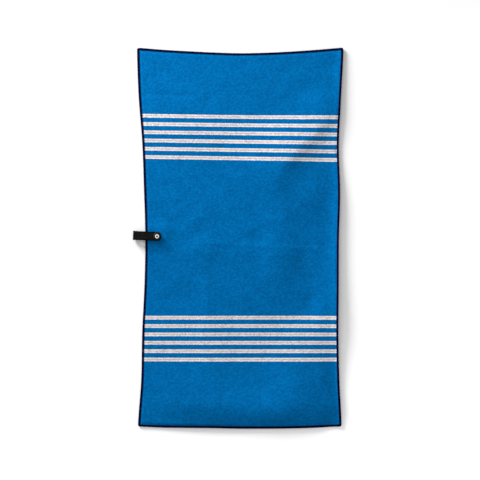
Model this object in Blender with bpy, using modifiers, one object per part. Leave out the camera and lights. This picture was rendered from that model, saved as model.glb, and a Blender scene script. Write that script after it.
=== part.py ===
"""A small fitness towel laid flat, with its hanging tab snapped shut over one long edge.

Metres, +Z up. The origin is on the surface, under the middle of the cloth. +Y runs along the
cloth to its top end, and the tab is halfway along the -X side.
Lengths below are in millimetres, and node() turns them into metres.
"""

import math
from collections import namedtuple

import bmesh
import bpy

# Cloth, as cut and finished
CLOTH_WIDTH = 395.0
CLOTH_LENGTH = 755.0
CLOTH_THICK = 2.0
GAP = 0.3  # between any two pieces

# How far each side lies from the origin, at even steps from the bottom end to the top end
LEFT_SIDE = (204.0, 197.5, 195.5, 191.0, 189.3, 192.0, 195.5, 202.7, 206.0)
RIGHT_SIDE = (203.0, 198.5, 196.4, 197.0, 197.5, 199.9, 197.5, 201.9, 206.8)
# How far each end lies from the origin, at even steps from the left side to the right side
BOTTOM_END = (377.0, 379.0, 379.5, 380.0, 381.0, 381.0, 380.5, 379.0, 376.7)
TOP_END = (380.3, 376.5, 373.5, 371.0, 369.5, 370.5, 373.0, 376.5, 380.5)
END_REACH = 0.5  # an end's curve dies out this share of the way in to the middle
UPPER_SKEW = 3.3  # the upper half slopes down to the right by at most this much each way
SKEW_PEAK = 6.75  # scales rise * (1 - rise) squared to a peak of 1, a third of the way up

# Folds: a soft crest along its heading, in degrees from +X. It reaches this far each way along
# the heading, and spreads this far to the left and to the right of it.
Fold = namedtuple("Fold", "x y heading reach left right rise")
FOLDS = {
    "shoulder": Fold(109, 175, 50, 80, 66, 36, 9.5),
    "shoulder_top": Fold(172, 262, 92, 60, 45, 26, 6.0),
    "shoulder_tail": Fold(64, 118, 20, 60, 70, 75, 3.6),
    "upper_swell": Fold(-100, 235, 0, 150, 115, 110, 5.2),
    "right_slope": Fold(146, 88, 80, 55, 60, 30, 5.5),
    "right_rim_top": Fold(212, 320, 92, 80, 22, 40, 2.0),
    "right_rim_upper": Fold(212, -20, 90, 130, 44, 40, 6.5),
    "right_rim_lower": Fold(212, -165, 80, 95, 55, 40, 8.5),
    "hip": Fold(136, -178, 48, 66, 34, 40, 3.8),
    "waist": Fold(78, -34, 89, 92, 48, 44, 7.6),
    "waist_left": Fold(-75, -22, 0, 55, 35, 34, 4.5),
    "shin": Fold(-62, -170, 92, 110, 36, 60, 4.6),
    "foot": Fold(50, -357, 0, 100, 42, 26, 7.2),
    "foot_rise": Fold(45, -328, 0, 128, 95, 40, 5.8),
    "foot_left": Fold(-100, -324, -7, 95, 92, 42, 7.2),
    "foot_right": Fold(122, -302, 72, 74, 60, 60, 7.6),
    "foot_hem": Fold(-110, -392, 0, 110, 12, 40, 9.0),
    "corner": Fold(168, -350, 42, 42, 28, 24, 3.0),
    "left_hip": Fold(-150, -165, 0, 62, 55, 80, 4.5),
    "right_rim": Fold(213, 10, 90, 400, 19, 40, 11.0),
}
SUNK = 2.2  # folds lower than this lie flat
SETTLE = 1.5  # how softly a fold lands on the flat

# Edge binding: a folded tape sewn round all four edges, with the cloth pressed thin inside it
BINDING_WIDTH = 4.5
BINDING_TAPE = 0.4
BINDING_THICK = 2.4
CORNER_RADIUS = 4.0
PRESSED_THICK = BINDING_THICK - 2 * (BINDING_TAPE + GAP)
PRESSED_INSET = BINDING_TAPE + 2 * GAP  # from the tape's outside to the cloth's cut edge
PRESSED_END = BINDING_WIDTH + GAP
FULL_INSET = PRESSED_END + 1.0

# Snap, a stack of turned pieces on one upright axis
SNAP_X = -165.5
SNAP_Y = 3.3
SNAP_RADIUS = 7.6
SOCKET_RADIUS = 5.2
STUD_RADIUS = 5.0
BACK_RADIUS = 5.6
BOSS_RADIUS = 2.4
POST_RADIUS = 1.6
HOLE_RADIUS = POST_RADIUS + GAP
FLANGE = 0.6

# Hanging tab: one webbing strip, sewn under the cloth, folded back over the edge
STRAP_WIDTH = 17.8
STRAP_THICK = 1.2
STRAP_TURN = -2.4  # degrees, so that the fold lies a little higher than the snap
STRAP_OUT = 48.3  # from the snap's axis to the outside of the fold
STRAP_RISE = 8.3  # height of the middle of the upper run
STRAP_LOW = 0.62  # and of the lower run where it lies on the surface
TIP_SHARE = 0.1  # each round end stops at this share of the strap's width

# Heights in the snap's stack
BASE_MIDDLE = FLANGE + GAP + STRAP_THICK / 2
SNAP_LIFT = FLANGE + 2 * GAP + STRAP_THICK
STUD_BOTTOM = SNAP_LIFT + CLOTH_THICK + GAP
BOSS_TOP = STUD_BOTTOM + FLANGE + 1.1
SOCKET_BOTTOM = STUD_BOTTOM + FLANGE + GAP
SOCKET_TOP = STRAP_RISE - STRAP_THICK / 2 - GAP
CAP_BOTTOM = STRAP_RISE + STRAP_THICK / 2 + GAP
CAP_TOP = CAP_BOTTOM + 1.6

# The patch of cloth that the snap lifts, and how far its sides spread
LIFT_RIGHT = -155.0
LIFT_HALF = 13.0
LIFT_SPREAD = 24.0

# How finely each sheet is divided
COLUMNS = (1, 1, 1, 19)  # from the left side: to the snap, over it, down beside it, the rest
ROWS = (21, 1, 1, 1, 21)
CORNER_STEPS = 4
STRAP_STEPS = (5, 8, 20, 8, 5)  # its round end, lower run, fold, upper run and round end
TURNED_STEPS = 24

TOWEL_BLUE = (0.001, 0.130, 0.370, 1)
BINDING_NAVY = (0.003, 0.002, 0.012, 1)
TAB_BLACK = (0.006, 0.006, 0.006, 1)
SNAP_BLACK = (0.008, 0.008, 0.008, 1)


def smooth_step(share):
    share = min(max(share, 0.0), 1.0)
    return share * share * (3 - 2 * share)


def along(values, share):
    """The values as one smooth curve, read at a share of its length from 0 to 1."""
    place = min(max(share, 0.0), 1.0) * (len(values) - 1)
    start = min(int(place), len(values) - 2)
    step = place - start
    before, here, after = values[max(start - 1, 0)], values[start], values[start + 1]
    beyond = values[min(start + 2, len(values) - 1)]
    bow = 2 * before - 5 * here + 4 * after - beyond
    twist = 3 * (here - after) + beyond - before
    return here + 0.5 * step * (after - before + step * (bow + step * twist))


def fold_height(x, y, fold):
    """A crest that fades evenly along its heading, and at its own rate on either side."""
    turn = math.radians(fold.heading)
    ahead = (x - fold.x) * math.cos(turn) + (y - fold.y) * math.sin(turn)
    aside = (y - fold.y) * math.cos(turn) - (x - fold.x) * math.sin(turn)
    spread = fold.left if aside > 0 else fold.right
    return fold.rise * math.exp(-((ahead / fold.reach) ** 2) - (aside / spread) ** 2)


def relief(x, y):
    """How high the underside of the cloth is above the surface."""
    raised = max(sum(fold_height(x, y, fold) for fold in FOLDS.values()) - SUNK, 0.0)
    settled = raised * raised / (raised + SETTLE)
    past_right = max(x - LIFT_RIGHT, 0.0)
    past_half = max(abs(y - SNAP_Y) - LIFT_HALF, 0.0)
    held = 1 - smooth_step(math.hypot(past_right, past_half) / LIFT_SPREAD)
    return settled * (1 - held) + SNAP_LIFT * held


def plan(u, v):
    """Where the point (u, v) of the flat cloth lies, seen from above."""
    across = 0.5 + u / CLOTH_WIDTH
    up = 0.5 + v / CLOTH_LENGTH
    left, right = along(LEFT_SIDE, up), along(RIGHT_SIDE, up)
    x = -left + across * (left + right)
    end = TOP_END if v > 0 else BOTTOM_END
    bow = along(end, across) - CLOTH_LENGTH / 2
    reach = max((abs(2 * up - 1) - END_REACH) / (1 - END_REACH), 0.0)
    y = v + (bow if v > 0 else -bow) * reach * reach
    rise = max(2 * up - 1, 0.0)
    y -= UPPER_SKEW * (2 * across - 1) * SKEW_PEAK * rise * (1 - rise) ** 2
    return x, y


def drape(u, v, height):
    """The cloth point (u, v), this far above the underside of the cloth."""
    x, y = plan(u, v)
    return x, y, relief(x, y) + height


def cloth_u(x):
    """The cloth coordinate of a place x on the line through the middle of the sides."""
    left, right = LEFT_SIDE[4], RIGHT_SIDE[4]
    return ((x + left) / (left + right) - 0.5) * CLOTH_WIDTH


def spaced(knots, counts):
    """Lines between the knots, each stretch divided evenly into its count."""
    lines = [knots[0]]
    for low, high, count in zip(knots, knots[1:], counts):
        lines += [low + (high - low) * step / count for step in range(1, count + 1)]
    return lines


def clear_scene():
    for item in list(bpy.data.objects):
        bpy.data.objects.remove(item)


def collection(name, hidden=False):
    made = bpy.data.collections.new(name)
    made.hide_render = hidden
    bpy.context.scene.collection.children.link(made)
    return made


def material(name, colour, roughness):
    made = bpy.data.materials.new(name)
    made.use_nodes = True
    shader = made.node_tree.nodes["Principled BSDF"]
    shader.inputs["Base Color"].default_value = colour
    shader.inputs["Roughness"].default_value = roughness
    shader.inputs["Metallic"].default_value = 0.0
    return made


def node(name, mesh, group, surface):
    """The object of a mesh that was made in millimetres."""
    for vertex in mesh.vertices:
        vertex.co *= 0.001
    made = bpy.data.objects.new(name, mesh)
    group.objects.link(made)
    if surface:
        mesh.materials.append(surface)
    return made


def grid(name, columns, rows, place, joined=False):
    """A sheet of quads with a point at place(column, row). Joined, its last column is its first."""
    frame = bmesh.new()
    bmesh.ops.create_grid(
        frame, x_segments=len(columns) - 1, y_segments=len(rows) - 1, size=1
    )
    for vertex in frame.verts:
        column = round((vertex.co.x + 1) / 2 * (len(columns) - 1))
        row = round((vertex.co.y + 1) / 2 * (len(rows) - 1))
        vertex.co = place(columns[column], rows[row])
    if joined:
        bmesh.ops.remove_doubles(frame, verts=frame.verts, dist=0.001)
    bmesh.ops.recalc_face_normals(frame, faces=frame.faces)
    mesh = bpy.data.meshes.new(name)
    frame.to_mesh(mesh)
    frame.free()
    mesh.shade_smooth()
    return mesh


def thicken(sheet, thickness, group=None):
    solid = sheet.modifiers.new("thickness", "SOLIDIFY")
    solid.thickness = thickness * 0.001
    solid.offset = 0
    solid.use_even_offset = True
    if group:
        solid.vertex_group = group
    return solid


def bore(part, cutter):
    cut = part.modifiers.new("snap_hole", "BOOLEAN")
    cut.operation = "DIFFERENCE"
    cut.solver = "EXACT"
    cut.object = cutter


def towel_lines():
    """The columns and rows of the cloth: its pressed rim, then lines fitted round the snap."""
    side, end = CLOTH_WIDTH / 2, CLOTH_LENGTH / 2
    patch = cloth_u(LIFT_RIGHT)
    across = (FULL_INSET - side, cloth_u(SNAP_X - SNAP_RADIUS), patch, patch + LIFT_SPREAD,
              side - FULL_INSET)
    upward = (FULL_INSET - end, SNAP_Y - LIFT_HALF - LIFT_SPREAD, SNAP_Y - LIFT_HALF,
              SNAP_Y + LIFT_HALF, SNAP_Y + LIFT_HALF + LIFT_SPREAD, end - FULL_INSET)
    return spaced(across, COLUMNS), spaced(upward, ROWS)


def with_rim(lines, half):
    low = [PRESSED_INSET - half, PRESSED_END - half]
    return low + lines + [-line for line in reversed(low)]


def towel_point(u, v):
    """A point of the cloth's middle surface. Its rim is pressed thin, and its corners are round."""
    side, end = CLOTH_WIDTH / 2 - abs(u), CLOTH_LENGTH / 2 - abs(v)
    if max(side, end) < CORNER_RADIUS:
        pull = CORNER_RADIUS - (CORNER_RADIUS - PRESSED_INSET) * math.sqrt(0.5)
        u = math.copysign(CLOTH_WIDTH / 2 - pull, u)
        v = math.copysign(CLOTH_LENGTH / 2 - pull, v)
    pressed = min(side, end) < FULL_INSET - GAP
    return drape(u, v, (BINDING_THICK if pressed else CLOTH_THICK) / 2)


def make_towel(group, surface, cutter):
    columns, rows = towel_lines()
    columns = with_rim(columns, CLOTH_WIDTH / 2)
    rows = with_rim(rows, CLOTH_LENGTH / 2)
    mesh = grid("towel", columns, rows, towel_point)
    towel = node("towel", mesh, group, surface)
    # The sheet is as thick as each point's weight says, and the rim has the lower weight.
    full = towel.vertex_groups.new(name="thickness")
    loft = {True: PRESSED_THICK / CLOTH_THICK, False: 1.0}
    rim = rim_points(mesh, columns, rows)
    for vertex in mesh.vertices:
        full.add([vertex.index], loft[vertex.index in rim], "REPLACE")
    thicken(towel, CLOTH_THICK, full.name)
    bore(towel, cutter)
    return towel


def rim_points(mesh, columns, rows):
    """The vertices in the two outer rings of the grid, which the binding holds."""
    wide, tall = len(columns), len(rows)
    found = set()
    for vertex in mesh.vertices:
        row, column = divmod(vertex.index, wide)
        if min(column, wide - 1 - column, row, tall - 1 - row) < 2:
            found.add(vertex.index)
    return found


def binding_stations():
    """Round the edge: points of an inner rectangle, each with the direction outwards."""
    columns, rows = towel_lines()
    side, end = CLOTH_WIDTH / 2 - CORNER_RADIUS, CLOTH_LENGTH / 2 - CORNER_RADIUS
    stations = []
    sides = (
        (-90, [(u, -end) for u in columns], (side, -end)),
        (0, [(side, v) for v in rows], (side, end)),
        (90, [(u, end) for u in reversed(columns)], (-side, end)),
        (180, [(-side, v) for v in reversed(rows)], (-side, -end)),
    )
    for heading, run, corner in sides:
        stations += [(point, heading) for point in run]
        turns = [heading + 90 * step / CORNER_STEPS for step in range(CORNER_STEPS + 1)]
        stations += [(corner, turn) for turn in turns]
    return stations + stations[:1]


def make_binding(group, surface):
    inner, outer = BINDING_WIDTH, BINDING_TAPE / 2
    low, high = BINDING_TAPE / 2, BINDING_THICK - BINDING_TAPE / 2
    section = ((inner, low), (outer, low), (outer, high), (inner, high))

    def place(station, corner):
        (u, v), heading = station
        inset, height = corner
        turn = math.radians(heading)
        reach = CORNER_RADIUS - inset
        return drape(u + reach * math.cos(turn), v + reach * math.sin(turn), height)

    mesh = grid("edge_binding", binding_stations(), section, place, joined=True)
    binding = node("edge_binding", mesh, group, surface)
    thicken(binding, BINDING_TAPE)
    return binding


def strap_path():
    """The middle of the webbing from its end under the cloth to its end over the snap, side on.

    Each point is how far it lies outwards from the snap's axis, and its height.
    """
    end = STRAP_WIDTH / 2
    out = STRAP_OUT - STRAP_THICK / 2
    return (
        (-end, BASE_MIDDLE), (0, BASE_MIDDLE), (12, BASE_MIDDLE), (23, BASE_MIDDLE),
        (30, 0.9), (37, STRAP_LOW), (43, STRAP_LOW + 0.1), (out - 1.2, 2.4),
        (out, 4.7), (out - 1.2, 7.1), (43, 8.5), (36, STRAP_RISE + 0.4),
        (23, STRAP_RISE + 0.2), (12, STRAP_RISE), (0, STRAP_RISE), (-end, STRAP_RISE),
    )


def make_strap(group, surface, cutter):
    outs, heights = zip(*strap_path())
    radius = STRAP_WIDTH / 2
    turn = math.radians(STRAP_TURN)

    def place(share, side):
        out, half = along(outs, share), radius
        if out < 0:
            round_end = -out / radius * math.pi / 2
            out, half = -radius * math.sin(round_end), radius * max(math.cos(round_end), TIP_SHARE)
        x, y = -out, side * half
        return (
            SNAP_X + x * math.cos(turn) - y * math.sin(turn),
            SNAP_Y + x * math.sin(turn) + y * math.cos(turn),
            max(along(heights, share), STRAP_LOW),
        )

    last = len(outs) - 1
    shares = spaced((0, 1 / last, 6 / last, 11 / last, 1 - 1 / last, 1), STRAP_STEPS)
    mesh = grid("hang_strap", shares, (-1.0, -0.4, 0.4, 1.0), place)
    strap = node("hang_strap", mesh, group, surface)
    thicken(strap, STRAP_THICK)
    bore(strap, cutter)
    return strap


def turned(name, profile, group, surface, ring=False):
    """A body turned about the snap's axis. Its profile runs down the outside, top to bottom."""
    mesh = bpy.data.meshes.new(name)
    count = len(profile)
    edges = [(step, step + 1) for step in range(count - 1)]
    if ring:
        edges.append((count - 1, 0))
    mesh.from_pydata([(radius, 0, height) for radius, height in profile], edges, [])
    made = node(name, mesh, group, surface)
    made.location = (SNAP_X * 0.001, SNAP_Y * 0.001, 0)
    screw = made.modifiers.new("turn", "SCREW")
    screw.steps = TURNED_STEPS
    screw.render_steps = TURNED_STEPS
    screw.use_merge_vertices = True
    screw.merge_threshold = 0.00001
    return made


def make_snap(group, surface):
    """Cap and socket on the tab, stud and back on the cloth."""
    post_end = BOSS_TOP + GAP + 0.05
    turned("snap_cap", (
        (0, CAP_TOP), (4.6, CAP_TOP - 0.05), (6.5, CAP_TOP - 0.35),
        (7.3, CAP_TOP - 0.8), (SNAP_RADIUS, CAP_TOP - 1.3), (SNAP_RADIUS, CAP_BOTTOM),
        (POST_RADIUS, CAP_BOTTOM), (POST_RADIUS, post_end), (0, post_end),
    ), group, surface)
    cavity = BOSS_RADIUS + GAP
    turned("snap_socket", (
        (HOLE_RADIUS, SOCKET_TOP), (SOCKET_RADIUS, SOCKET_TOP),
        (SOCKET_RADIUS, SOCKET_BOTTOM), (cavity, SOCKET_BOTTOM),
        (cavity, BOSS_TOP + GAP), (HOLE_RADIUS, BOSS_TOP + GAP),
    ), group, surface, ring=True)
    turned("snap_stud", (
        (0, BOSS_TOP), (BOSS_RADIUS - 0.3, BOSS_TOP), (BOSS_RADIUS, BOSS_TOP - 0.3),
        (BOSS_RADIUS, STUD_BOTTOM + FLANGE), (STUD_RADIUS, STUD_BOTTOM + FLANGE),
        (STUD_RADIUS, STUD_BOTTOM), (HOLE_RADIUS, STUD_BOTTOM),
        (HOLE_RADIUS, BOSS_TOP - FLANGE), (0, BOSS_TOP - FLANGE),
    ), group, surface)
    post_top = BOSS_TOP - FLANGE - GAP
    turned("snap_back", (
        (0, post_top), (POST_RADIUS, post_top), (POST_RADIUS, FLANGE),
        (BACK_RADIUS - 0.3, FLANGE), (BACK_RADIUS, FLANGE - 0.3), (BACK_RADIUS, 0),
        (0, 0),
    ), group, surface)


def make_cutter(group):
    """The upright hole that the snap's posts pass through."""
    frame = bmesh.new()
    bmesh.ops.create_cone(
        frame, cap_ends=True, segments=TURNED_STEPS, radius1=HOLE_RADIUS,
        radius2=HOLE_RADIUS, depth=40,
    )
    mesh = bpy.data.meshes.new("snap_hole")
    frame.to_mesh(mesh)
    frame.free()
    cutter = node("snap_hole", mesh, group, None)
    cutter.location = (SNAP_X * 0.001, SNAP_Y * 0.001, 0)
    cutter.hide_render = True
    cutter.display_type = "WIRE"
    return cutter


def main():
    clear_scene()
    parts = collection("fitness_towel")
    cutter = make_cutter(collection("cutters", hidden=True))
    webbing = material("black_webbing", TAB_BLACK, 0.8)
    plastic = material("black_plastic", SNAP_BLACK, 0.35)
    make_towel(parts, material("blue_terry", TOWEL_BLUE, 0.95), cutter)
    make_binding(parts, material("navy_tape", BINDING_NAVY, 0.85))
    make_strap(parts, webbing, cutter)
    make_snap(parts, plastic)


main()
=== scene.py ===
"""The looks of a small fitness towel laid flat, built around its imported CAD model.

The towel's cloth, its edge tape and its hanging tab follow the CAD's own folds and paths, with
the pile, weave, seams and moulded edges that the plain solids leave out. Lengths are in
millimetres in the CAD's frame, and become metres only where a mesh, light or camera is made.
"""

import math
from collections import namedtuple

import bmesh
import bpy
import numpy as np
from mathutils.kdtree import KDTree
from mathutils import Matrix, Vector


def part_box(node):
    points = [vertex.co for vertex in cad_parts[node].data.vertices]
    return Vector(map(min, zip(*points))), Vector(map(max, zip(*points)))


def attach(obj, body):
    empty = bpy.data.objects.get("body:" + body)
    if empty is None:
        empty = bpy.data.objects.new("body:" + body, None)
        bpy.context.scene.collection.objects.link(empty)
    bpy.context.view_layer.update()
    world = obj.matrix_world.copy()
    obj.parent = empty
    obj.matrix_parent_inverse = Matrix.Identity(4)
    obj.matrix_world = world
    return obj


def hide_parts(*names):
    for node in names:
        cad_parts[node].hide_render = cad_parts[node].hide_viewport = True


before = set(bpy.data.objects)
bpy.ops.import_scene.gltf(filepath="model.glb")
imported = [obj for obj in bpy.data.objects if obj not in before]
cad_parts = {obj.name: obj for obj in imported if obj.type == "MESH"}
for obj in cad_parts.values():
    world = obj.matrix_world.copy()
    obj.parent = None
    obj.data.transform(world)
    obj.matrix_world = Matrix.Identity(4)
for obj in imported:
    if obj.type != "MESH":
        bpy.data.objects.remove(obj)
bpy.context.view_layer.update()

MM = 0.001


def middle_of(node):
    """The middle of a CAD node's box, in millimetres."""
    low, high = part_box(node)
    return (np.array(low) + np.array(high)) / 2 / MM


# Cloth, as cut and finished, and the drape that its CAD solid has
CLOTH_WIDTH = 395.0
CLOTH_LENGTH = 755.0
CLOTH_THICK = 2.0
GAP = 0.3  # between neighbouring solids of the CAD

# How far each side lies from the origin, at even steps from the bottom end to the top end
LEFT_SIDE = (204.0, 197.5, 195.5, 191.0, 189.3, 192.0, 195.5, 202.7, 206.0)
RIGHT_SIDE = (203.0, 198.5, 196.4, 197.0, 197.5, 199.9, 197.5, 201.9, 206.8)
# How far each end lies from the origin, at even steps from the left side to the right side
BOTTOM_END = (377.0, 379.0, 379.5, 380.0, 381.0, 381.0, 380.5, 379.0, 376.7)
TOP_END = (380.3, 376.5, 373.5, 371.0, 369.5, 370.5, 373.0, 376.5, 380.5)
END_REACH = 0.5  # an end's curve dies out this share of the way in to the middle
UPPER_SKEW = 3.3  # the upper half slopes down to the right by at most this much each way
SKEW_PEAK = 6.75  # scales rise * (1 - rise) ** 2 to a peak of 1, where rise is 1/3

# Folds: a soft crest along its heading, in degrees from +X. It reaches this far each way along
# the heading, and spreads this far to the left and to the right of it.
Fold = namedtuple("Fold", "x y heading reach left right rise")
FOLDS = {
    "shoulder": Fold(109, 175, 50, 80, 66, 36, 9.5),
    "shoulder_top": Fold(172, 262, 92, 60, 45, 26, 6.0),
    "shoulder_tail": Fold(64, 118, 20, 60, 70, 75, 3.6),
    "upper_swell": Fold(-100, 235, 0, 150, 115, 110, 5.2),
    "right_slope": Fold(146, 88, 80, 55, 60, 30, 5.5),
    "right_rim_top": Fold(212, 320, 92, 80, 22, 40, 2.0),
    "right_rim_upper": Fold(212, -20, 90, 130, 44, 40, 6.5),
    "right_rim_lower": Fold(212, -165, 80, 95, 55, 40, 8.5),
    "hip": Fold(136, -178, 48, 66, 34, 40, 3.8),
    "waist": Fold(78, -34, 89, 92, 48, 44, 7.6),
    "waist_left": Fold(-75, -22, 0, 55, 35, 34, 4.5),
    "shin": Fold(-62, -170, 92, 110, 36, 60, 4.6),
    "foot": Fold(50, -357, 0, 100, 42, 26, 7.2),
    "foot_rise": Fold(45, -328, 0, 128, 95, 40, 5.8),
    "foot_left": Fold(-100, -324, -7, 95, 92, 42, 7.2),
    "foot_right": Fold(122, -302, 72, 74, 60, 60, 7.6),
    "foot_hem": Fold(-110, -392, 0, 110, 12, 40, 9.0),
    "corner": Fold(168, -350, 42, 42, 28, 24, 3.0),
    "left_hip": Fold(-150, -165, 0, 62, 55, 80, 4.5),
    "right_rim": Fold(213, 10, 90, 400, 19, 40, 11.0),
}
SUNK = 2.2  # the cloth lies flat where its folds add up to less than this
SETTLE = 1.5  # how softly a fold lands on the flat

# The cloth's finish, from the tape inwards and over its middle
TOP_REACH = 3.0  # from PRESSED_END to where the top has its full height
UNDER_REACH = 1.6  # and the same for the underside
PUFF = 0.25  # how far the cloth swells in a soft ridge inside the tape
PUFF_INSET = 10.0
PUFF_SPREAD = 4.5
Patches = namedtuple("Patches", "rise size seed")
UNEVENNESS = (Patches(0.16, 17, 3), Patches(0.08, 7, 5))

# Edge tape, and the cloth's rim pressed thin inside it
BINDING_WIDTH = 4.5
BINDING_TAPE = 0.4
BINDING_THICK = 2.4
CORNER_RADIUS = 4.0
LIP_INSET = BINDING_WIDTH - 0.1
SEAM_INSET = 3.2
SEAM_SPREAD = 0.7  # how far from the seam the tape is drawn in
SEAM_DRAW = 0.10  # by this much on average,
SEAM_BEAT = 0.05  # and by this much more or less with each stitch
TAPE_SWELL = 0.05
PRESSED_INSET = BINDING_TAPE + 2 * GAP  # from the tape's outside to the cloth's cut edge
PRESSED_END = BINDING_WIDTH + GAP
PRESSED_LOW = BINDING_TAPE + GAP
PRESSED_HIGH = BINDING_THICK - BINDING_TAPE - GAP

# Sewing thread
SEAM_THREAD = 0.19  # radius
SEAM_SINK = 0.14  # how far a stitch's ends sink
SEAM_BED = 0.06  # how deep a stitch's middle lies in the tape
SEAM_ENDS = (0.12, 0.88)  # where a stitch starts and ends, as shares of its pitch
TAB_THREAD = 0.2
TAB_SINK = 0.2
TAB_ENDS = (0.1, 0.9)

# Snap, a stack of turned pieces on one upright axis
SNAP_X, SNAP_Y, _ = middle_of("snap_cap")
SNAP_RADIUS = 7.6
SOCKET_RADIUS = 5.2
STUD_RADIUS = 5.0
BACK_RADIUS = 5.6
BOSS_RADIUS = 2.4
POST_RADIUS = 1.6
HOLE_RADIUS = POST_RADIUS + GAP
HOLE_DEPTH = 40.0  # of the cutter, well past both faces
FLANGE = 0.6

# Hanging tab: one webbing strip, sewn under the cloth, folded back over the edge
STRAP_WIDTH = 17.8
STRAP_THICK = 1.2
STRAP_TURN = -2.4  # degrees, which puts the fold a little nearer the top end than the snap
STRAP_OUT = 48.3  # from the snap's axis to the outside of the fold
STRAP_RISE = 8.3  # height of the middle of the webbing where its upper run meets the snap
STRAP_LOW = 0.62  # and of the lower run where it lies on the surface
CORD_WIDTH = 1.5  # of each lengthwise cord in the webbing
CORD_BEAT = 2.6  # from one crosswise thread to the next but one
CORD_RISE = 0.05
FLARE = 0.07  # how much wider the webbing is at its fold, as a share
FLARE_SPREAD = 3.5
TIP_SHARE = 0.06  # each round end closes at this share of the half width
SELVEDGE = 0.9  # the weave starts this far in from the edge
SELVEDGE_FADE = 0.8  # and is full this much further in

# Heights in the snap's stack
BASE_MIDDLE = FLANGE + GAP + STRAP_THICK / 2
SNAP_LIFT = FLANGE + 2 * GAP + STRAP_THICK
STUD_BOTTOM = SNAP_LIFT + CLOTH_THICK + GAP
BOSS_TOP = STUD_BOTTOM + FLANGE + 1.1
SOCKET_BOTTOM = STUD_BOTTOM + FLANGE + GAP
SOCKET_TOP = STRAP_RISE - STRAP_THICK / 2 - GAP
CAP_BOTTOM = STRAP_RISE + STRAP_THICK / 2 + GAP
CAP_TOP = CAP_BOTTOM + 1.6

# The patch of cloth that the snap lifts, and how far its sides spread
LIFT_RIGHT = -155.0
LIFT_HALF = 13.0
LIFT_SPREAD = 24.0

# Fine creases on top of the folds: a line, how wide it spreads, and its rise
END_FADE = 3  # a crease fades this many times slower past its line's ends than aside
Crease = namedtuple("Crease", "x1 y1 x2 y2 spread rise")
CREASES = {
    "storage_across": Crease(-75, -10, 155, -22, 5.0, 0.40),
    "middle_ridge": Crease(8, 130, 12, -90, 30, 0.8),
    "waist_line": Crease(10, -28, 150, -34, 15, 0.5),
    "storage_along": Crease(-67, -55, -66, -140, 7.0, 0.35),
    "upper_left": Crease(-178, 288, -100, 286, 5.0, -0.30),
    "left_of_band": Crease(-150, 120, -60, 60, 14.0, 0.45),
    "middle_slant": Crease(-95, 30, -20, 105, 13.0, 0.40),
    "below_shoulder": Crease(20, 20, 120, 62, 12.0, 0.45),
    "shoulder_brow": Crease(104, 166, 166, 226, 11.0, 0.55),
    "shoulder_hollow": Crease(118, 152, 180, 212, 11.0, -0.55),
    "lower_left": Crease(-170, -120, -95, -60, 12.0, 0.40),
    "lower_middle": Crease(-60, -105, 40, -140, 14.0, 0.40),
    "foot_corner": Crease(-190, -350, -150, -372, 6.0, 0.50),
    "foot_ray": Crease(165, -280, 196, -372, 8.0, 0.60),
    "hip_hollow": Crease(134, -70, 140, -150, 18.0, -1.2),
    "hip_ridge": Crease(170, -92, 160, -158, 17.0, 1.3),
    "foot_brow": Crease(-66, -349, 56, -349, 37.0, 2.2),
    "corner_hollow": Crease(196, -290, 200, -370, 24.0, -1.8),
}

# Stripes: two mirrored bands, in the cloth's own coordinates
BAND_START = 155.5
STRIPE_PITCH = 16.7
STRIPE_WIDTH = 7.3
STRIPES = 6
STRIPE_WAVER = 1.1  # how far a stripe's edge strays, from its nearest to its furthest
STRIPE_FADE = 0.25  # and how far it blurs each way
BAND_MARGIN = 4.0  # a band's own stripes are looked for this far past its ends
PICK_PITCH = 1.4  # from row to row of pale yarn

# How finely each piece is divided
RIM_LINES = (PRESSED_INSET, 2.6, PRESSED_END, 4.9, 5.6, 6.6, 8.2, 10.4)
CLOTH_COLUMNS = 128
CLOTH_ROWS = 250
STITCH_PITCH = 2.6
STEPS_A_STITCH = 4
WEAVE_STEP = 0.35
STRAP_COLUMNS = 57
TURNED_STEPS = 96
HOLE_STEPS = 48


# ---------------------------------------------------------------- shape of the laid cloth

def smooth_step(share):
    share = np.clip(share, 0.0, 1.0)
    return share * share * (3 - 2 * share)


def along(values, share):
    """The values as one smooth curve, read at shares of its length from 0 to 1."""
    values = np.asarray(values, float)
    place = np.clip(share, 0.0, 1.0) * (len(values) - 1)
    start = np.minimum(place.astype(int), len(values) - 2)
    step = place - start
    before, here, after = values[np.maximum(start - 1, 0)], values[start], values[start + 1]
    beyond = values[np.minimum(start + 2, len(values) - 1)]
    bow = 2 * before - 5 * here + 4 * after - beyond
    twist = 3 * (here - after) + beyond - before
    return here + 0.5 * step * (after - before + step * (bow + step * twist))


def fold_height(x, y, fold):
    """A crest that fades evenly along its heading, and at its own rate on either side."""
    turn = math.radians(fold.heading)
    ahead = (x - fold.x) * math.cos(turn) + (y - fold.y) * math.sin(turn)
    aside = (y - fold.y) * math.cos(turn) - (x - fold.x) * math.sin(turn)
    spread = np.where(aside > 0, fold.left, fold.right)
    return fold.rise * np.exp(-((ahead / fold.reach) ** 2) - (aside / spread) ** 2)


def relief(x, y):
    """How high the underside of the cloth is above the surface, as in the CAD solid."""
    raised = np.maximum(sum(fold_height(x, y, fold) for fold in FOLDS.values()) - SUNK, 0.0)
    settled = raised * raised / (raised + SETTLE)
    past_right = np.maximum(x - LIFT_RIGHT, 0.0)
    past_half = np.maximum(np.abs(y - SNAP_Y) - LIFT_HALF, 0.0)
    held = 1 - smooth_step(np.hypot(past_right, past_half) / LIFT_SPREAD)
    return settled * (1 - held) + SNAP_LIFT * held


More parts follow.
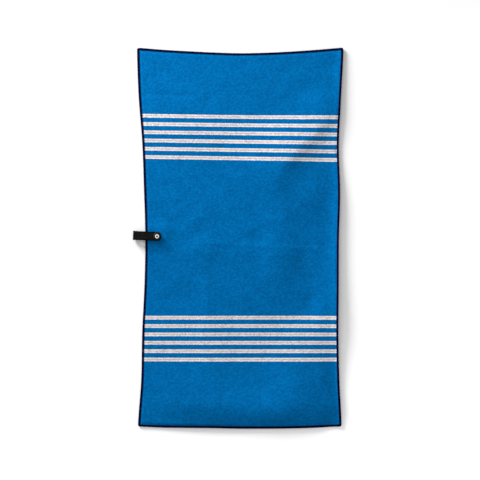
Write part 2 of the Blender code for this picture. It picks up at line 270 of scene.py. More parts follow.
def plan(u, v):
    """Where the point (u, v) of the flat cloth lies, seen from above."""
    across = 0.5 + u / CLOTH_WIDTH
    up = 0.5 + v / CLOTH_LENGTH
    left, right = along(LEFT_SIDE, up), along(RIGHT_SIDE, up)
    x = -left + across * (left + right)
    bow = np.where(v > 0, along(TOP_END, across) - CLOTH_LENGTH / 2,
                   CLOTH_LENGTH / 2 - along(BOTTOM_END, across))
    reach = np.maximum((np.abs(2 * up - 1) - END_REACH) / (1 - END_REACH), 0.0)
    y = v + bow * reach * reach
    rise = np.maximum(2 * up - 1, 0.0)
    y = y - UPPER_SKEW * (2 * across - 1) * SKEW_PEAK * rise * (1 - rise) ** 2
    return x, y


def drape(u, v, height):
    """Cloth points (u, v), this far above the underside of the cloth, as an array of places."""
    x, y = plan(u, v)
    return np.stack(np.broadcast_arrays(x, y, relief(x, y) + height), axis=-1)


def crease_height(x, y, crease):
    """A soft ridge or trough along a line. It fades slower past the line's ends than aside."""
    run = np.array((crease.x2 - crease.x1, crease.y2 - crease.y1), float)
    length = np.hypot(*run)
    ahead = ((x - crease.x1) * run[0] + (y - crease.y1) * run[1]) / length
    aside = ((y - crease.y1) * run[0] - (x - crease.x1) * run[1]) / length
    past = np.maximum(np.maximum(-ahead, ahead - length), 0.0)
    return crease.rise * np.exp(-((aside / crease.spread) ** 2) - (past / (END_FADE * crease.spread)) ** 2)


def patchy(u, v, size, seed):
    """Smooth unevenness from -1 to 1, in patches of about this size."""
    wide, tall = int(CLOTH_WIDTH / size) + 4, int(CLOTH_LENGTH / size) + 4
    values = np.random.default_rng(seed).uniform(-1, 1, (wide, tall))
    across, up = (u + CLOTH_WIDTH / 2) / size + 1, (v + CLOTH_LENGTH / 2) / size + 1
    column, row = across.astype(int), up.astype(int)
    right, above = smooth_step(across - column), smooth_step(up - row)
    low = values[column, row] * (1 - right) + values[column + 1, row] * right
    high = values[column, row + 1] * (1 - right) + values[column + 1, row + 1] * right
    return low * (1 - above) + high * above


# ---------------------------------------------------------------- mesh helpers

def quads(rows, columns, round_rows=False, round_columns=False):
    """The faces of a grid of points, numbered row by row. A round grid closes on itself."""
    row = np.arange(rows if round_rows else rows - 1)[:, None]
    column = np.arange(columns if round_columns else columns - 1)[None, :]
    below, right = (row + 1) % rows, (column + 1) % columns
    corners = (row * columns + column, row * columns + right,
               below * columns + right, below * columns + column)
    return np.stack(np.broadcast_arrays(*corners), axis=-1).reshape(-1, 4)


def piece(name, points, faces, surface, slot, nodes=()):
    """A smooth closed mesh in millimetres as a piece of the object, standing for CAD nodes."""
    mesh = bpy.data.meshes.new(name)
    mesh.from_pydata((np.asarray(points).reshape(-1, 3) * MM).tolist(), [], faces)
    frame_mesh = bmesh.new()
    frame_mesh.from_mesh(mesh)
    bmesh.ops.recalc_face_normals(frame_mesh, faces=frame_mesh.faces)
    frame_mesh.to_mesh(mesh)
    frame_mesh.free()
    mesh.shade_smooth()
    mesh.materials.append(surface)
    made = bpy.data.objects.new(name, mesh)
    bpy.context.scene.collection.objects.link(made)
    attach(made, "root")
    if nodes:
        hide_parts(*nodes)
    return made


def add_field(made, name, values):
    """Stores a vector for each point of the mesh, for its material to read."""
    field = made.data.attributes.new(name, "FLOAT_VECTOR", "POINT")
    field.data.foreach_set("vector", np.asarray(values, np.float32).reshape(-1))


def places_of(made):
    places = np.empty(len(made.data.vertices) * 3, np.float32)
    made.data.vertices.foreach_get("co", places)
    return places.reshape(-1, 3)


def bore(made, name, values):
    """Cuts the upright hole that the snap's posts pass through, then stores the field.

    The cut adds points of its own, and each takes its value from the nearest point before it.
    """
    before = places_of(made)
    near = KDTree(len(before))
    for number, place in enumerate(before):
        near.insert(place, number)
    near.balance()
    cut_hole(made)
    nearest = [near.find(place)[1] for place in places_of(made)]
    add_field(made, name, np.asarray(values).reshape(-1, 3)[nearest])


def cut_hole(made):
    rim = bmesh.new()
    bmesh.ops.create_cone(
        rim, cap_ends=True, segments=HOLE_STEPS, radius1=HOLE_RADIUS * MM,
        radius2=HOLE_RADIUS * MM, depth=HOLE_DEPTH * MM,
    )
    mesh = bpy.data.meshes.new("snap_hole")
    rim.to_mesh(mesh)
    rim.free()
    cutter = bpy.data.objects.new("snap_hole", mesh)
    cutter.location = (SNAP_X * MM, SNAP_Y * MM, 0)
    bpy.context.scene.collection.objects.link(cutter)
    cut = made.modifiers.new("snap_hole", "BOOLEAN")
    cut.object = cutter
    bpy.context.view_layer.objects.active = made
    bpy.ops.object.modifier_apply(modifier=cut.name)
    bpy.data.objects.remove(cutter)


def thread_stitches(starts, ends, ups, radius, sink):
    """Short lengths of thread between two sets of points, rounded up and sunk at both ends."""
    shares = np.array((0.0, 0.12, 0.5, 0.88, 1.0))
    swell = np.array((0.35, 0.9, 1.0, 0.9, 0.35))
    drop = np.array((1.0, 0.3, 0.0, 0.3, 1.0)) * sink
    sides = 6
    turn = np.arange(sides) * 2 * np.pi / sides
    run = ends - starts
    aside = np.cross(ups, run)
    aside /= np.linalg.norm(aside, axis=-1, keepdims=True)
    centre = starts[:, None] + run[:, None] * shares[None, :, None]
    centre = centre - ups[:, None] * drop[None, :, None]
    ring = (np.cos(turn)[None, :, None] * aside[:, None]
            + np.sin(turn)[None, :, None] * ups[:, None])
    points = centre[:, :, None] + ring[:, None] * (radius * swell)[None, :, None, None]
    one = quads(len(shares), sides, round_columns=True)
    size = len(shares) * sides
    faces = []
    for start in range(0, len(starts) * size, size):
        faces += (one + start).tolist()
        faces.append(list(range(start, start + sides)))
        faces.append(list(range(start + size - sides, start + size)))
    return points, faces


def joined(parts):
    """Several sets of points and their faces as one set, with the faces renumbered."""
    points, faces, start = [], [], 0
    for part_points, part_faces in parts:
        points.append(part_points.reshape(-1, 3))
        faces += [[start + corner for corner in face] for face in part_faces]
        start += len(points[-1])
    return np.concatenate(points), faces


# ---------------------------------------------------------------- cloth

def cloth_lines(half, count):
    """The grid lines across half a side each way: the rim's own lines, then even ones."""
    rim = np.array(RIM_LINES) - half
    inner = np.linspace(rim[-1], -rim[-1], count + 1)
    return np.concatenate((rim[:-1], inner, -rim[-2::-1]))


def round_corner(u, v):
    """Draws the points in the cloth's four corners in to its corner radius."""
    side, end = CLOTH_WIDTH / 2 - CORNER_RADIUS, CLOTH_LENGTH / 2 - CORNER_RADIUS
    over_u, over_v = np.maximum(np.abs(u) - side, 0), np.maximum(np.abs(v) - end, 0)
    in_corner = (over_u > 0) & (over_v > 0)
    over = np.where(in_corner, np.hypot(over_u, over_v), 1)
    pull = np.minimum((CORNER_RADIUS - PRESSED_INSET) / over, 1)
    u = np.where(in_corner, np.sign(u) * (side + over_u * pull), u)
    v = np.where(in_corner, np.sign(v) * (end + over_v * pull), v)
    return u, v


def creasing(x, y):
    """How far the fine creases raise the cloth, or sink it."""
    return sum(crease_height(x, y, crease) for crease in CREASES.values())


def cloth_top(u, v, inset):
    """The pile's height above the folds: pressed at the tape, full a little way in."""
    fine = creasing(*plan(u, v))
    for patches in UNEVENNESS:
        fine = fine + patches.rise * patchy(u, v, patches.size, patches.seed)
    full = smooth_step((inset - PRESSED_END) / TOP_REACH)
    puff = PUFF * np.exp(-(((inset - PUFF_INSET) / PUFF_SPREAD) ** 2))
    return PRESSED_HIGH * (1 - full) + (CLOTH_THICK + puff + fine) * full


def cloth_under(u, v, inset):
    """The underside's height above the folds. Off the surface, it follows the creases."""
    x, y = plan(u, v)
    raised = relief(x, y)
    full = smooth_step((inset - PRESSED_END) / UNDER_REACH)
    return PRESSED_LOW * (1 - full) + np.clip(creasing(x, y), -raised, raised) * full


def make_cloth(surface):
    across = cloth_lines(CLOTH_WIDTH / 2, CLOTH_COLUMNS)
    upward = cloth_lines(CLOTH_LENGTH / 2, CLOTH_ROWS)
    u, v = np.meshgrid(across, upward)
    inset = np.minimum(CLOTH_WIDTH / 2 - np.abs(u), CLOTH_LENGTH / 2 - np.abs(v))
    u, v = round_corner(u, v)
    top, under = drape(u, v, cloth_top(u, v, inset)), drape(u, v, cloth_under(u, v, inset))
    # Each row runs over the top and back under, so that the rows close round the cloth.
    points = np.concatenate((top, under[:, ::-1]), axis=1)
    rows, columns = points.shape[:2]
    faces = quads(rows, columns, round_columns=True).tolist()
    half = columns // 2
    for row in (0, rows - 1):
        for column in range(half - 1):
            back = columns - 1 - column
            corners = (column, column + 1, back - 1, back)
            faces.append([row * columns + corner for corner in corners])
    made = piece("towel_cloth", points, faces, surface, "cloth", ["towel"])
    side = np.ones_like(u)
    above, below = np.stack((u, v, side), -1), np.stack((u, v, -side), -1)
    bore(made, "cloth", np.concatenate((above, below[:, ::-1]), axis=1))
    return made


# ---------------------------------------------------------------- edge tape

def edge_marks():
    """Knots round the edge: the distance, the inner corner's place and the heading outwards."""
    side, end = CLOTH_WIDTH / 2 - CORNER_RADIUS, CLOTH_LENGTH / 2 - CORNER_RADIUS
    turn = CORNER_RADIUS * math.pi / 2
    corners = ((side, -end), (side, end), (-side, end), (-side, -end), (side, -end))
    distance, knots = 0.0, []
    for step, (start, stop) in enumerate(zip(corners, corners[1:])):
        knots.append((distance, *start, 90 * step))
        distance += abs(stop[0] - start[0]) + abs(stop[1] - start[1])
        knots.append((distance, *stop, 90 * step))
        distance += turn
    knots.append((distance, *corners[-1], 360))
    return np.array(knots)


EDGE = edge_marks()
EDGE_LENGTH = EDGE[-1, 0]


def edge_place(distance, inset):
    """The cloth point at a distance round the edge and this far in from it."""
    distance = np.mod(distance, EDGE_LENGTH)
    heading = np.radians(np.interp(distance, EDGE[:, 0], EDGE[:, 3]))
    reach = CORNER_RADIUS - inset
    u = np.interp(distance, EDGE[:, 0], EDGE[:, 1]) + reach * np.cos(heading)
    v = np.interp(distance, EDGE[:, 0], EDGE[:, 2]) + reach * np.sin(heading)
    return u, v


def tape_section():
    """The tape's section as insets and heights: over the outside, then back inside."""
    outer, inner = BINDING_THICK / 2, BINDING_THICK / 2 - BINDING_TAPE
    turns = np.radians(np.linspace(-90, 90, 7))
    flats = np.array((LIP_INSET, 3.8, SEAM_INSET, 2.6, 1.8))
    inside = np.array((LIP_INSET + 0.05, 3.0, 2.0))
    inset = np.concatenate((
        flats, outer * (1 - np.cos(turns)), flats[::-1],
        inside, BINDING_TAPE + inner * (1 - np.cos(turns[::2])), inside[::-1],
    ))
    height = np.concatenate((
        np.zeros(len(flats)), outer + outer * np.sin(turns), np.full(len(flats), BINDING_THICK),
        np.full(len(inside), BINDING_THICK - BINDING_TAPE), outer + inner * np.sin(turns[::-2]),
        np.full(len(inside), BINDING_TAPE),
    ))
    return inset, height


def tape_relief(distance, inset, height, stitches):
    """How far the seam draws the tape in, more at each stitch's ends, and the tape swells."""
    beat = np.cos(2 * np.pi * distance * stitches / EDGE_LENGTH)
    near_seam = np.exp(-(((inset - SEAM_INSET) / SEAM_SPREAD) ** 2))
    outside = np.where((height < 0.01) | (height > BINDING_THICK - 0.01), 1.0, 0.0)
    upper = height > BINDING_THICK / 2
    sunk = outside * near_seam * (SEAM_DRAW + SEAM_BEAT * beat)
    swell = outside * TAPE_SWELL * np.sin(distance / 7.3) * np.sin(distance / 3.1 + inset)
    return np.where(upper, -sunk, sunk) + np.where(upper, swell, np.maximum(swell, 0))


def make_tape(surface):
    inset, height = (part[None, :] for part in tape_section())
    stitches = int(EDGE_LENGTH / STITCH_PITCH)
    count = stitches * STEPS_A_STITCH
    distance = np.arange(count)[:, None] * EDGE_LENGTH / count
    u, v = edge_place(distance, inset)
    points = drape(u, v, height + tape_relief(distance, inset, height, stitches))
    faces = quads(*points.shape[:2], round_rows=True, round_columns=True).tolist()
    made = piece("edge_tape", points, faces, surface, "binding", ["edge_binding"])
    add_field(made, "tape", np.stack(np.broadcast_arrays(distance, inset, height), -1))
    return made


def make_edge_stitches(surface):
    count = int(EDGE_LENGTH / STITCH_PITCH)
    pitch = EDGE_LENGTH / count
    first = np.arange(count) * pitch
    rows = []
    for height, way in ((BINDING_THICK - SEAM_BED, 1.0), (SEAM_BED, -1.0)):
        ends = []
        for offset in SEAM_ENDS:
            u, v = edge_place(first + offset * pitch, SEAM_INSET)
            ends.append(drape(u, v, height))
        ups = np.zeros_like(ends[0])
        ups[:, 2] = way
        rows.append(thread_stitches(*ends, ups, SEAM_THREAD, SEAM_SINK))
    return piece("edge_stitches", *joined(rows), surface, "binding")


# ---------------------------------------------------------------- hanging tab

def strap_path():
    """The middle of the webbing, side on: how far out from the snap's axis, and its height."""
    end = STRAP_WIDTH / 2
    out = STRAP_OUT - STRAP_THICK / 2
    return (
        (-end, BASE_MIDDLE), (0, BASE_MIDDLE), (12, BASE_MIDDLE), (23, BASE_MIDDLE),
        (30, 0.9), (37, STRAP_LOW), (43, STRAP_LOW + 0.1), (out - 1.2, 2.4),
        (out, 4.7), (out - 1.2, 7.1), (43, 8.5), (36, STRAP_RISE + 0.4),
        (23, STRAP_RISE + 0.2), (12, STRAP_RISE), (0, STRAP_RISE), (-end, STRAP_RISE),
    )


def strap_line():
    """The path at even steps of its length: distances, places out and up, and normals."""
    outs, heights = zip(*strap_path())
    share = np.linspace(0, 1, 3001)
    out, height = along(outs, share), np.maximum(along(heights, share), STRAP_LOW)
    gone = np.concatenate(((0,), np.cumsum(np.hypot(np.diff(out), np.diff(height)))))
    distance = np.linspace(0, gone[-1], int(gone[-1] / WEAVE_STEP) + 1)
    out, height = np.interp(distance, gone, out), np.interp(distance, gone, height)
    run_out, run_up = np.gradient(out, distance), np.gradient(height, distance)
    length = np.hypot(run_out, run_up)
    return distance, out, height, run_up / length, -run_out / length


def turned_tab(points):
    """Turns the tab's points about the snap's axis, and takes them from the axis to its place."""
    turn = math.radians(STRAP_TURN)
    x, y, z = np.moveaxis(points, -1, 0)
    return np.stack((SNAP_X + x * math.cos(turn) - y * math.sin(turn),
                     SNAP_Y + x * math.sin(turn) + y * math.cos(turn), z), axis=-1)


def weave_height(distance, across):
    """Lengthwise cords that pass over and under each crosswise thread in turn."""
    number = np.floor(across / CORD_WIDTH)
    bulge = np.abs(np.cos(np.pi * (across / CORD_WIDTH - number - 0.5)))
    over = np.cos(2 * np.pi * distance / CORD_BEAT + np.pi * number)
    return CORD_RISE * bulge + CORD_RISE * over * bulge


def strap_half(out):
    """Half the webbing's width: round at its two ends, and a little wider at its fold."""
    radius = STRAP_WIDTH / 2
    reach = np.sqrt(np.maximum(1 - np.minimum(out / radius, 0) ** 2, 0.0))
    flare = 1 + FLARE * np.exp(-(((out - STRAP_OUT) / FLARE_SPREAD) ** 2))
    return radius * np.maximum(reach, TIP_SHARE) * flare


def make_strap(surface):
    distance, out, height, aside_out, aside_up = strap_line()
    half = strap_half(out)
    share = np.linspace(-1, 1, STRAP_COLUMNS)
    edge = np.power(np.maximum(1 - np.abs(share) ** 24, 0.0), 1 / 3)
    across = half[:, None] * share[None, :]
    inner = smooth_step((half[:, None] - np.abs(across) - SELVEDGE) / SELVEDGE_FADE)
    weave = weave_height(distance[:, None], across) * inner
    sides = []
    for way in (1.0, -1.0):
        lift = way * (STRAP_THICK / 2 * edge[None, :] - 0.1 * inner + weave)
        x = -(out[:, None] + lift * aside_out[:, None])
        z = height[:, None] + lift * aside_up[:, None]
        sides.append(np.stack((x, across, z), axis=-1))
    # The two faces meet at each selvedge, so the underside leaves out both of its end columns.
    points = turned_tab(np.concatenate((sides[0], sides[1][:, -2:0:-1]), axis=1))
    rows, columns = points.shape[:2]
    faces = quads(rows, columns, round_columns=True).tolist()
    faces.append(list(range(columns)))
    faces.append(list(range((rows - 1) * columns, rows * columns)))
    made = piece("tab_webbing", points, faces, surface, "webbing", ["hang_strap"])
    field = np.stack(np.broadcast_arrays(distance[:, None], across, half[:, None]), -1)
    bore(made, "tab", np.concatenate((field, field[:, -2:0:-1]), axis=1))
    return made, distance[-1]


def box_seam():
    """Where each stitch of the tab's box seam starts and ends, from the snap's axis."""
    near, far, half, pitch = 13.0, 22.0, 6.2, 2.0
    corners = np.array(((-near, -half), (-near, half), (-far, half), (-far, -half), (-near, -half)))
    starts, ends = [], []
    for first, last in zip(corners, corners[1:]):
        run = last - first
        count = round(np.abs(run).max() / pitch)
        for step in range(count):
            starts.append(first + (step + TAB_ENDS[0]) / count * run)
            ends.append(first + (step + TAB_ENDS[1]) / count * run)
    return np.array(starts), np.array(ends)


def make_tab_stitches(surface):
    """The seam that holds the webbing's lower run to the cloth, as seen on both faces."""
    starts, ends = box_seam()
    bottom = BASE_MIDDLE - STRAP_THICK / 2 - 0.03
    faces_sewn = []
    for height, way in ((SNAP_LIFT + CLOTH_THICK + 0.1, 1.0), (bottom, -1.0)):
        ups = np.tile((0.0, 0.0, way), (len(starts), 1))
        level = np.full(len(starts), height)
        faces_sewn.append(thread_stitches(
            np.column_stack((starts, level)), np.column_stack((ends, level)), ups,
            TAB_THREAD, TAB_SINK))
    points, faces = joined(faces_sewn)
    return piece("tab_stitches", turned_tab(points), faces, surface, "webbing")


# ---------------------------------------------------------------- snap

def rounded(corners, radius, steps=4):
    """A profile with each of its inner corners replaced by a short arc of this size."""
    corners = [np.array(corner, float) for corner in corners]
    profile = [corners[0]]
    for before, corner, after in zip(corners, corners[1:], corners[2:]):
        inwards, onwards = before - corner, after - corner
        reach = min(radius, 0.45 * np.hypot(*inwards), 0.45 * np.hypot(*onwards))
        start = corner + inwards / np.hypot(*inwards) * reach
        stop = corner + onwards / np.hypot(*onwards) * reach
        for share in np.linspace(0, 1, steps + 1):
            profile.append((1 - share) ** 2 * start + 2 * share * (1 - share) * corner
                           + share ** 2 * stop)
    profile.append(corners[-1])
    return np.array(profile)


def turned(name, profile, surface, nodes=(), ring=False):
    """A body turned about the snap's axis. A ring's profile closes on itself."""
    turn = np.arange(TURNED_STEPS)[None, :] * 2 * np.pi / TURNED_STEPS
    radius, height = profile[:, 0][:, None], profile[:, 1][:, None]
    points = np.stack(np.broadcast_arrays(SNAP_X + radius * np.cos(turn),
                                          SNAP_Y + radius * np.sin(turn), height), axis=-1)
    faces = quads(*points.shape[:2], round_rows=ring, round_columns=True).tolist()
    if not ring:
        last = (len(profile) - 1) * TURNED_STEPS
        faces.append(list(range(TURNED_STEPS)))
        faces.append(list(range(last, last + TURNED_STEPS)))
    return piece(name, points, faces, surface, "snap", nodes)


def make_snap(plastic, pale):
    """Cap and socket on the tab, stud and back on the cloth, with a plain pale ring on the cap."""
    post_end = BOSS_TOP + GAP + 0.05
    tip = 0.4  # each profile that reaches the axis stops here, and a small disc closes it
    turned("snap_cap_moulded", rounded((
        (tip, CAP_TOP - 0.02), (4.9, CAP_TOP - 0.08), (5.35, CAP_TOP - 0.22), (5.75, CAP_TOP - 0.2),
        (6.7, CAP_TOP - 0.45), (7.4, CAP_TOP - 0.85), (SNAP_RADIUS, CAP_TOP - 1.3),
        (SNAP_RADIUS, CAP_BOTTOM), (POST_RADIUS, CAP_BOTTOM), (POST_RADIUS, post_end),
        (tip, post_end)), 0.3), plastic, ["snap_cap"])
    cavity = BOSS_RADIUS + GAP
    turned("snap_socket_moulded", rounded((
        (HOLE_RADIUS, SOCKET_TOP - 0.3), (HOLE_RADIUS, SOCKET_TOP), (SOCKET_RADIUS, SOCKET_TOP),
        (SOCKET_RADIUS, SOCKET_BOTTOM), (cavity, SOCKET_BOTTOM), (cavity, BOSS_TOP + GAP),
        (HOLE_RADIUS, BOSS_TOP + GAP)), 0.25), plastic, ["snap_socket"], ring=True)
    turned("snap_stud_moulded", rounded((
        (tip, BOSS_TOP), (BOSS_RADIUS, BOSS_TOP), (BOSS_RADIUS, STUD_BOTTOM + FLANGE),
        (STUD_RADIUS, STUD_BOTTOM + FLANGE), (STUD_RADIUS, STUD_BOTTOM), (HOLE_RADIUS, STUD_BOTTOM),
        (HOLE_RADIUS, BOSS_TOP - FLANGE), (tip, BOSS_TOP - FLANGE)), 0.2), plastic, ["snap_stud"])
    post_top = BOSS_TOP - FLANGE - GAP
    turned("snap_back_moulded", rounded((
        (tip, post_top), (POST_RADIUS, post_top), (POST_RADIUS, FLANGE), (BACK_RADIUS, FLANGE),
        (BACK_RADIUS, 0.02), (tip, 0.02)), 0.25), plastic, ["snap_back"])
    ring = CAP_TOP - 0.06
    turned("snap_ring", rounded((
        (2.1, ring - 0.1), (1.9, ring + 0.07), (3.95, ring + 0.02), (4.05, ring - 0.2)), 0.12),
        pale, ring=True)


# ---------------------------------------------------------------- materials

class Paint:
    """A material's nodes, with a short way to add each kind that the surfaces use."""

    def __init__(self, name, roughness, specular, sheen=0.0, sheen_tint=(1, 1, 1, 1)):
        self.material = bpy.data.materials.new(name)
        self.material.use_nodes = True
        self.tree = self.material.node_tree
        self.shader = self.tree.nodes["Principled BSDF"]
        self.shader.inputs["Roughness"].default_value = roughness
        self.shader.inputs["Specular IOR Level"].default_value = specular
        self.shader.inputs["Sheen Weight"].default_value = sheen
        self.shader.inputs["Sheen Roughness"].default_value = 0.5
        self.shader.inputs["Sheen Tint"].default_value = sheen_tint

    def feed(self, node, socket, value):
        if isinstance(value, bpy.types.NodeSocket):
            self.tree.links.new(value, node.inputs[socket])
        elif value is not None:
            node.inputs[socket].default_value = value

    def field(self, name):
        node = self.tree.nodes.new("ShaderNodeAttribute")
        node.attribute_name = name
        return node.outputs["Vector"]

    def place(self):
        """The place on the object, in metres."""
        return self.tree.nodes.new("ShaderNodeTexCoord").outputs["Object"]

    def parts(self, vector):
        node = self.tree.nodes.new("ShaderNodeSeparateXYZ")
        self.feed(node, 0, vector)
        return node.outputs

    def vector(self, x, y, z=0.0):
        node = self.tree.nodes.new("ShaderNodeCombineXYZ")
        for socket, value in enumerate((x, y, z)):
            self.feed(node, socket, value)
        return node.outputs[0]

    def math(self, operation, first, second=None, third=None):
        node = self.tree.nodes.new("ShaderNodeMath")
        node.operation = operation
        for socket, value in enumerate((first, second, third)):
            self.feed(node, socket, value)
        return node.outputs[0]

    def spread(self, value, low, high, to_low=0.0, to_high=1.0):
        """A smooth change from to_low to to_high while the value goes from low to high."""
        node = self.tree.nodes.new("ShaderNodeMapRange")
        node.interpolation_type = "SMOOTHSTEP"
        for socket, given in enumerate((value, low, high, to_low, to_high)):
            self.feed(node, socket, given)
        return node.outputs[0]

    def noise(self, vector, size, detail=2.0, roughness=0.5):
        """Noise from 0 to 1 with features of about this size in the vector's own units."""
        node = self.tree.nodes.new("ShaderNodeTexNoise")
        self.feed(node, "Vector", vector)
        self.feed(node, "Scale", 1.0 / size)
        self.feed(node, "Detail", detail)
        self.feed(node, "Roughness", roughness)
        return node.outputs["Fac"]

    def cells(self, vector, size):
        """The distance to the nearest of many scattered points, about this far apart."""
        node = self.tree.nodes.new("ShaderNodeTexVoronoi")
        self.feed(node, "Vector", vector)
        self.feed(node, "Scale", 1.0 / size)
        return node.outputs["Distance"]

    def mix(self, share, low, high):
        node = self.tree.nodes.new("ShaderNodeMix")
        node.data_type = "RGBA"
        self.feed(node, 0, share)
        self.feed(node, 6, low)
        self.feed(node, 7, high)
        return node.outputs[2]

    def finish(self, colour, height, depth, roughness=None):
        """Feeds the shader its colour, its bump (depth in millimetres) and its roughness."""
        bump = self.tree.nodes.new("ShaderNodeBump")
        self.feed(bump, "Distance", depth * MM)
        self.feed(bump, "Height", height)
        self.feed(self.shader, "Normal", bump.outputs[0])
        self.feed(self.shader, "Base Color", colour)
        self.feed(self.shader, "Roughness", roughness)
        return self.material


BLUE_DEEP = (0.0003, 0.0640, 0.190, 1)
BLUE = (0.0005, 0.0890, 0.255, 1)
BLUE_BRIGHT = (0.0008, 0.1100, 0.308, 1)
CREAM = (0.560, 0.500, 0.475, 1)
LILAC = (0.280, 0.250, 0.265, 1)
TAPE_DARK, TAPE_WORN = (0.0006, 0.0004, 0.0130, 1), (0.0016, 0.0012, 0.0240, 1)
FOLD_SHADE_EDGE_BLACK = (0.0006, 0.0006, 0.0006, 1)
WEB_DARK, WEB_WORN = (0.0020, 0.0020, 0.0021, 1), (0.0045, 0.0045, 0.0047, 1)
WEB_YARN = (0.0085, 0.0085, 0.0088, 1)
NAVY_DARK, NAVY_LIGHT = (0.0015, 0.0010, 0.0080, 1), (0.0060, 0.0040, 0.0260, 1)
BLACK_DARK, BLACK_LIGHT = (0.0015, 0.0015, 0.0015, 1), (0.0080, 0.0080, 0.0085, 1)
PLASTIC_DARK, PLASTIC_LIGHT = (0.0010, 0.0010, 0.0010, 1), (0.0028, 0.0028, 0.0030, 1)
PRINT_DARK, PRINT_LIGHT = (0.42, 0.42, 0.42, 1), (0.50, 0.50, 0.50, 1)


def terry():
    """Short looped pile in blue, with pale bands woven in rows across the cloth."""
    paint = Paint("blue_terry", 0.95, 0.0, 0.08, (0.0, 0.25, 0.6, 1))
    cloth = paint.field("cloth")
    u, v, side = paint.parts(cloth)
    ribbed = paint.vector(paint.math("MULTIPLY", u, 0.7), paint.math("MULTIPLY", v, 0.9), side)
    coarse = paint.noise(ribbed, 24.0, 3.0)
    medium = paint.noise(ribbed, 3.6, 3.0, 0.65)
    loops = paint.cells(ribbed, 1.5)
    fuzz = paint.noise(cloth, 0.9, 2.0)

    blue = paint.mix(paint.spread(coarse, 0.30, 0.70), BLUE_DEEP, BLUE)
    tufts = paint.mix(paint.spread(medium, 0.32, 0.68), BLUE_DEEP, BLUE_BRIGHT)
    blue = paint.mix(0.65, blue, tufts)
    # Painted shade: where the bump sinks between the loops, the blue is drawn towards the deep blue.
    blue = paint.mix(paint.spread(loops, 0.55, 0.95, 0.0, 0.35), blue, BLUE_DEEP)

    # Stripes: the distance to the nearest stripe's middle, with edges that waver by a thread
    waver = paint.math("MULTIPLY_ADD", paint.noise(cloth, 2.2, 1.0), STRIPE_WAVER,
                       -STRIPE_WAVER / 2 - BAND_START)
    into_band = paint.math("ADD", paint.math("ABSOLUTE", v), waver)
    centred = paint.math("SUBTRACT", into_band, STRIPE_WIDTH / 2)
    to_middle = paint.math("PINGPONG", centred, STRIPE_PITCH / 2)
    band_end = STRIPE_PITCH * (STRIPES - 1) + STRIPE_WIDTH
    in_band = paint.math("MULTIPLY", paint.math("GREATER_THAN", into_band, -BAND_MARGIN),
                         paint.math("LESS_THAN", into_band, band_end + BAND_MARGIN))
    half = STRIPE_WIDTH / 2
    stripe = paint.math("MULTIPLY", in_band,
                        paint.spread(to_middle, half + STRIPE_FADE, half - STRIPE_FADE))

    # In a stripe, picks of pale yarn lie in rows, and the middle rows show more of the ground
    picks = paint.math("SINE", paint.math("MULTIPLY", v, 2 * math.pi / PICK_PITCH))
    dashes = paint.noise(paint.vector(paint.math("MULTIPLY", u, 0.7), v, side), 2.2, 3.0, 0.65)
    middle = paint.spread(to_middle, half * 0.55, 0.0, 0.0, 0.20)
    shade = paint.math("ADD", paint.math("ADD", dashes, middle), paint.math("MULTIPLY", picks, 0.05))
    pale = paint.mix(paint.spread(shade, 0.40, 0.74), CREAM, LILAC)
    colour = paint.mix(stripe, blue, pale)

    pile = paint.math("ADD", paint.math("MULTIPLY", loops, -0.45),
                      paint.math("ADD", paint.math("MULTIPLY", fuzz, 0.35),
                                 paint.math("MULTIPLY", medium, 0.75)))
    flat = paint.math("ADD", paint.math("MULTIPLY", dashes, 0.5),
                      paint.math("MULTIPLY_ADD", picks, 0.08, -0.1))
    height = paint.math("ADD", paint.math("MULTIPLY", stripe, flat),
                        paint.math("MULTIPLY", paint.math("SUBTRACT", 1.0, stripe), pile))
    roughness = paint.spread(fuzz, 0.2, 0.8, 0.86, 1.0)
    return paint.finish(colour, height, 0.5, roughness)


def tape():
    """Closely woven ribbon, nearly black, with fine ribs across its length."""
    paint = Paint("navy_tape", 0.9, 0.0)
    field = paint.field("tape")
    run = paint.parts(field)[0]
    ribs = paint.math("SINE", paint.math("MULTIPLY", run, 2 * math.pi / 0.7))
    worn = paint.noise(field, 6.0, 3.0)
    colour = paint.mix(paint.spread(worn, 0.3, 0.75), TAPE_DARK, TAPE_WORN)
    grain = paint.math("ADD", paint.math("MULTIPLY", ribs, 0.3), paint.noise(field, 0.8, 2.0))
    roughness = paint.spread(worn, 0.3, 0.7, 0.75, 0.92)
    return paint.finish(colour, grain, 0.12, roughness)


def thread(name, dark, light):
    """Twisted sewing thread."""
    paint = Paint(name, 0.7, 0.2)
    place = paint.place()
    twist = paint.noise(place, 0.0009, 2.0)
    colour = paint.mix(paint.spread(twist, 0.3, 0.7), dark, light)
    return paint.finish(colour, twist, 0.08, paint.spread(twist, 0.3, 0.7, 0.6, 0.8))


def webbing():
    """Black webbing, a little greyer inside its darker edges and away from its fold, which is painted near
    black as shade where the webbing turns over.
    """
    distance, out = strap_line()[:2]
    folded_at = float(distance[out.argmax()])
    paint = Paint("black_webbing", 0.9, 0.04)
    field = paint.field("tab")
    run, across, half = paint.parts(field)
    in_from_edge = paint.math("SUBTRACT", half, paint.math("ABSOLUTE", across))
    from_fold = paint.math("ABSOLUTE", paint.math("SUBTRACT", run, folded_at))
    # Painted shade: near black for a few millimetres each side of the fold, where the webbing turns over,
    # and darker along both edges.
    inner = paint.math("MULTIPLY", paint.spread(in_from_edge, 1.2, 2.6),
                       paint.spread(from_fold, 5.0, 7.5))
    yarn = paint.noise(paint.vector(run, paint.math("MULTIPLY", across, 2.5), 0.0), 1.2, 3.0)
    worn = paint.noise(field, 7.0, 3.0)
    grey = paint.mix(paint.spread(worn, 0.3, 0.7), WEB_DARK, WEB_WORN)
    grey = paint.mix(paint.spread(yarn, 0.45, 0.75, 0.0, 0.5), grey, WEB_YARN)
    colour = paint.mix(inner, FOLD_SHADE_EDGE_BLACK, grey)
    return paint.finish(colour, yarn, 0.10, paint.spread(yarn, 0.3, 0.7, 0.7, 0.88))


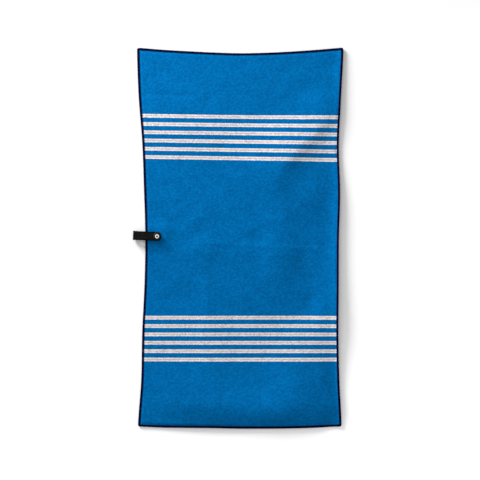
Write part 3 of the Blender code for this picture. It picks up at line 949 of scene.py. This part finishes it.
def moulded(name, dark, light, roughness, specular):
    """Moulded plastic with a fine grain and faint handling marks."""
    paint = Paint(name, roughness, specular)
    place = paint.place()
    grain = paint.noise(place, 0.0005, 2.0)
    marks = paint.noise(place, 0.004, 4.0, 0.6)
    colour = paint.mix(paint.spread(marks, 0.3, 0.7), dark, light)
    worn = paint.spread(marks, 0.3, 0.7, roughness, roughness + 0.12)
    return paint.finish(colour, grain, 0.02, worn)


def floor_paint():
    """A pale, matt studio floor, a little greyer towards the lamp so that it is evenly lit."""
    paint = Paint("pale_floor", 0.9, 0.0)
    place = paint.place()
    x, y, _ = paint.parts(place)
    turn = math.radians(KEY_AZIMUTH)
    towards = paint.math("MULTIPLY_ADD", x, math.cos(turn),
                         paint.math("MULTIPLY", y, math.sin(turn)))
    shade = paint.math("EXPONENT", paint.math("MULTIPLY", towards, -FLOOR_FADE))
    grain = paint.math("MULTIPLY_ADD", paint.noise(place, 0.15, 3.0), 0.01, FLOOR_PALE - 0.005)
    pale = paint.math("MINIMUM", paint.math("MULTIPLY", shade, grain), FLOOR_PALEST)
    return paint.finish(paint.vector(pale, pale, pale), grain, 0.0)


# ---------------------------------------------------------------- stage, light and camera

VIEW_WIDTH = 960.0  # of the surface, from side to side of the picture
VIEW_MIDDLE = (0.0, -3.9)
LENS = 150.0
SENSOR = 36.0
KEY_AZIMUTH = 130.0  # from +X towards +Y
KEY_HEIGHT = 15.0  # degrees above the surface
KEY_AWAY = 2200.0
KEY_SIZE = 950.0
KEY_POWER = 144.0
FILL = 0.88
FLOOR_SIZE = 40000.0
FLOOR_PALE = 0.66
FLOOR_PALEST = 0.9
FLOOR_FADE = 0.64  # how fast the floor greys towards the lamp, for each metre
FLOOR_DROP = 0.2  # under the cloth, so that the two don't share a plane


def make_floor():
    mesh = bpy.data.meshes.new("floor")
    half = FLOOR_SIZE / 2 * MM
    level = -FLOOR_DROP * MM
    corners = ((-half, -half, level), (half, -half, level), (half, half, level), (-half, half, level))
    mesh.from_pydata(corners, [], [(0, 1, 2, 3)])
    mesh.materials.append(floor_paint())
    floor = bpy.data.objects.new("floor", mesh)
    bpy.context.scene.collection.objects.link(floor)


def make_light():
    turn, rise = math.radians(KEY_AZIMUTH), math.radians(KEY_HEIGHT)
    away = KEY_AWAY * MM
    lamp = bpy.data.lights.new("key", "AREA")
    lamp.shape = "DISK"
    lamp.size = KEY_SIZE * MM
    lamp.energy = KEY_POWER
    key = bpy.data.objects.new("key", lamp)
    key.location = (away * math.cos(rise) * math.cos(turn), away * math.cos(rise) * math.sin(turn),
                    away * math.sin(rise))
    key.rotation_euler = (math.radians(90 - KEY_HEIGHT), 0, turn + math.pi / 2)
    key.visible_camera = False
    bpy.context.scene.collection.objects.link(key)


def make_world():
    world = bpy.data.worlds.new("studio")
    world.use_nodes = True
    sky = world.node_tree.nodes["Background"]
    sky.inputs["Color"].default_value = (1, 1, 1, 1)
    sky.inputs["Strength"].default_value = FILL
    bpy.context.scene.world = world


def make_camera():
    lens = bpy.data.cameras.new("camera")
    lens.lens = LENS
    lens.sensor_width = SENSOR
    lens.clip_end = 100.0  # metres
    camera = bpy.data.objects.new("camera", lens)
    camera.location = (VIEW_MIDDLE[0] * MM, VIEW_MIDDLE[1] * MM, VIEW_WIDTH * MM * LENS / SENSOR)
    bpy.context.scene.collection.objects.link(camera)
    bpy.context.scene.camera = camera
    bpy.context.scene.view_settings.view_transform = "Standard"


def main():
    make_camera()
    make_floor()
    make_light()
    make_world()
    navy_thread = thread("navy_thread", NAVY_DARK, NAVY_LIGHT)
    black_thread = thread("black_thread", BLACK_DARK, BLACK_LIGHT)
    plastic = moulded("black_plastic", PLASTIC_DARK, PLASTIC_LIGHT, roughness=0.45, specular=0.15)
    pale = moulded("pale_print", PRINT_DARK, PRINT_LIGHT, roughness=0.6, specular=0.3)
    cloth = make_cloth(terry())
    edge = make_tape(tape())
    seam = make_edge_stitches(navy_thread)
    tab, tab_length = make_strap(webbing())
    tab_seam = make_tab_stitches(black_thread)
    make_snap(plastic, pale)


main()
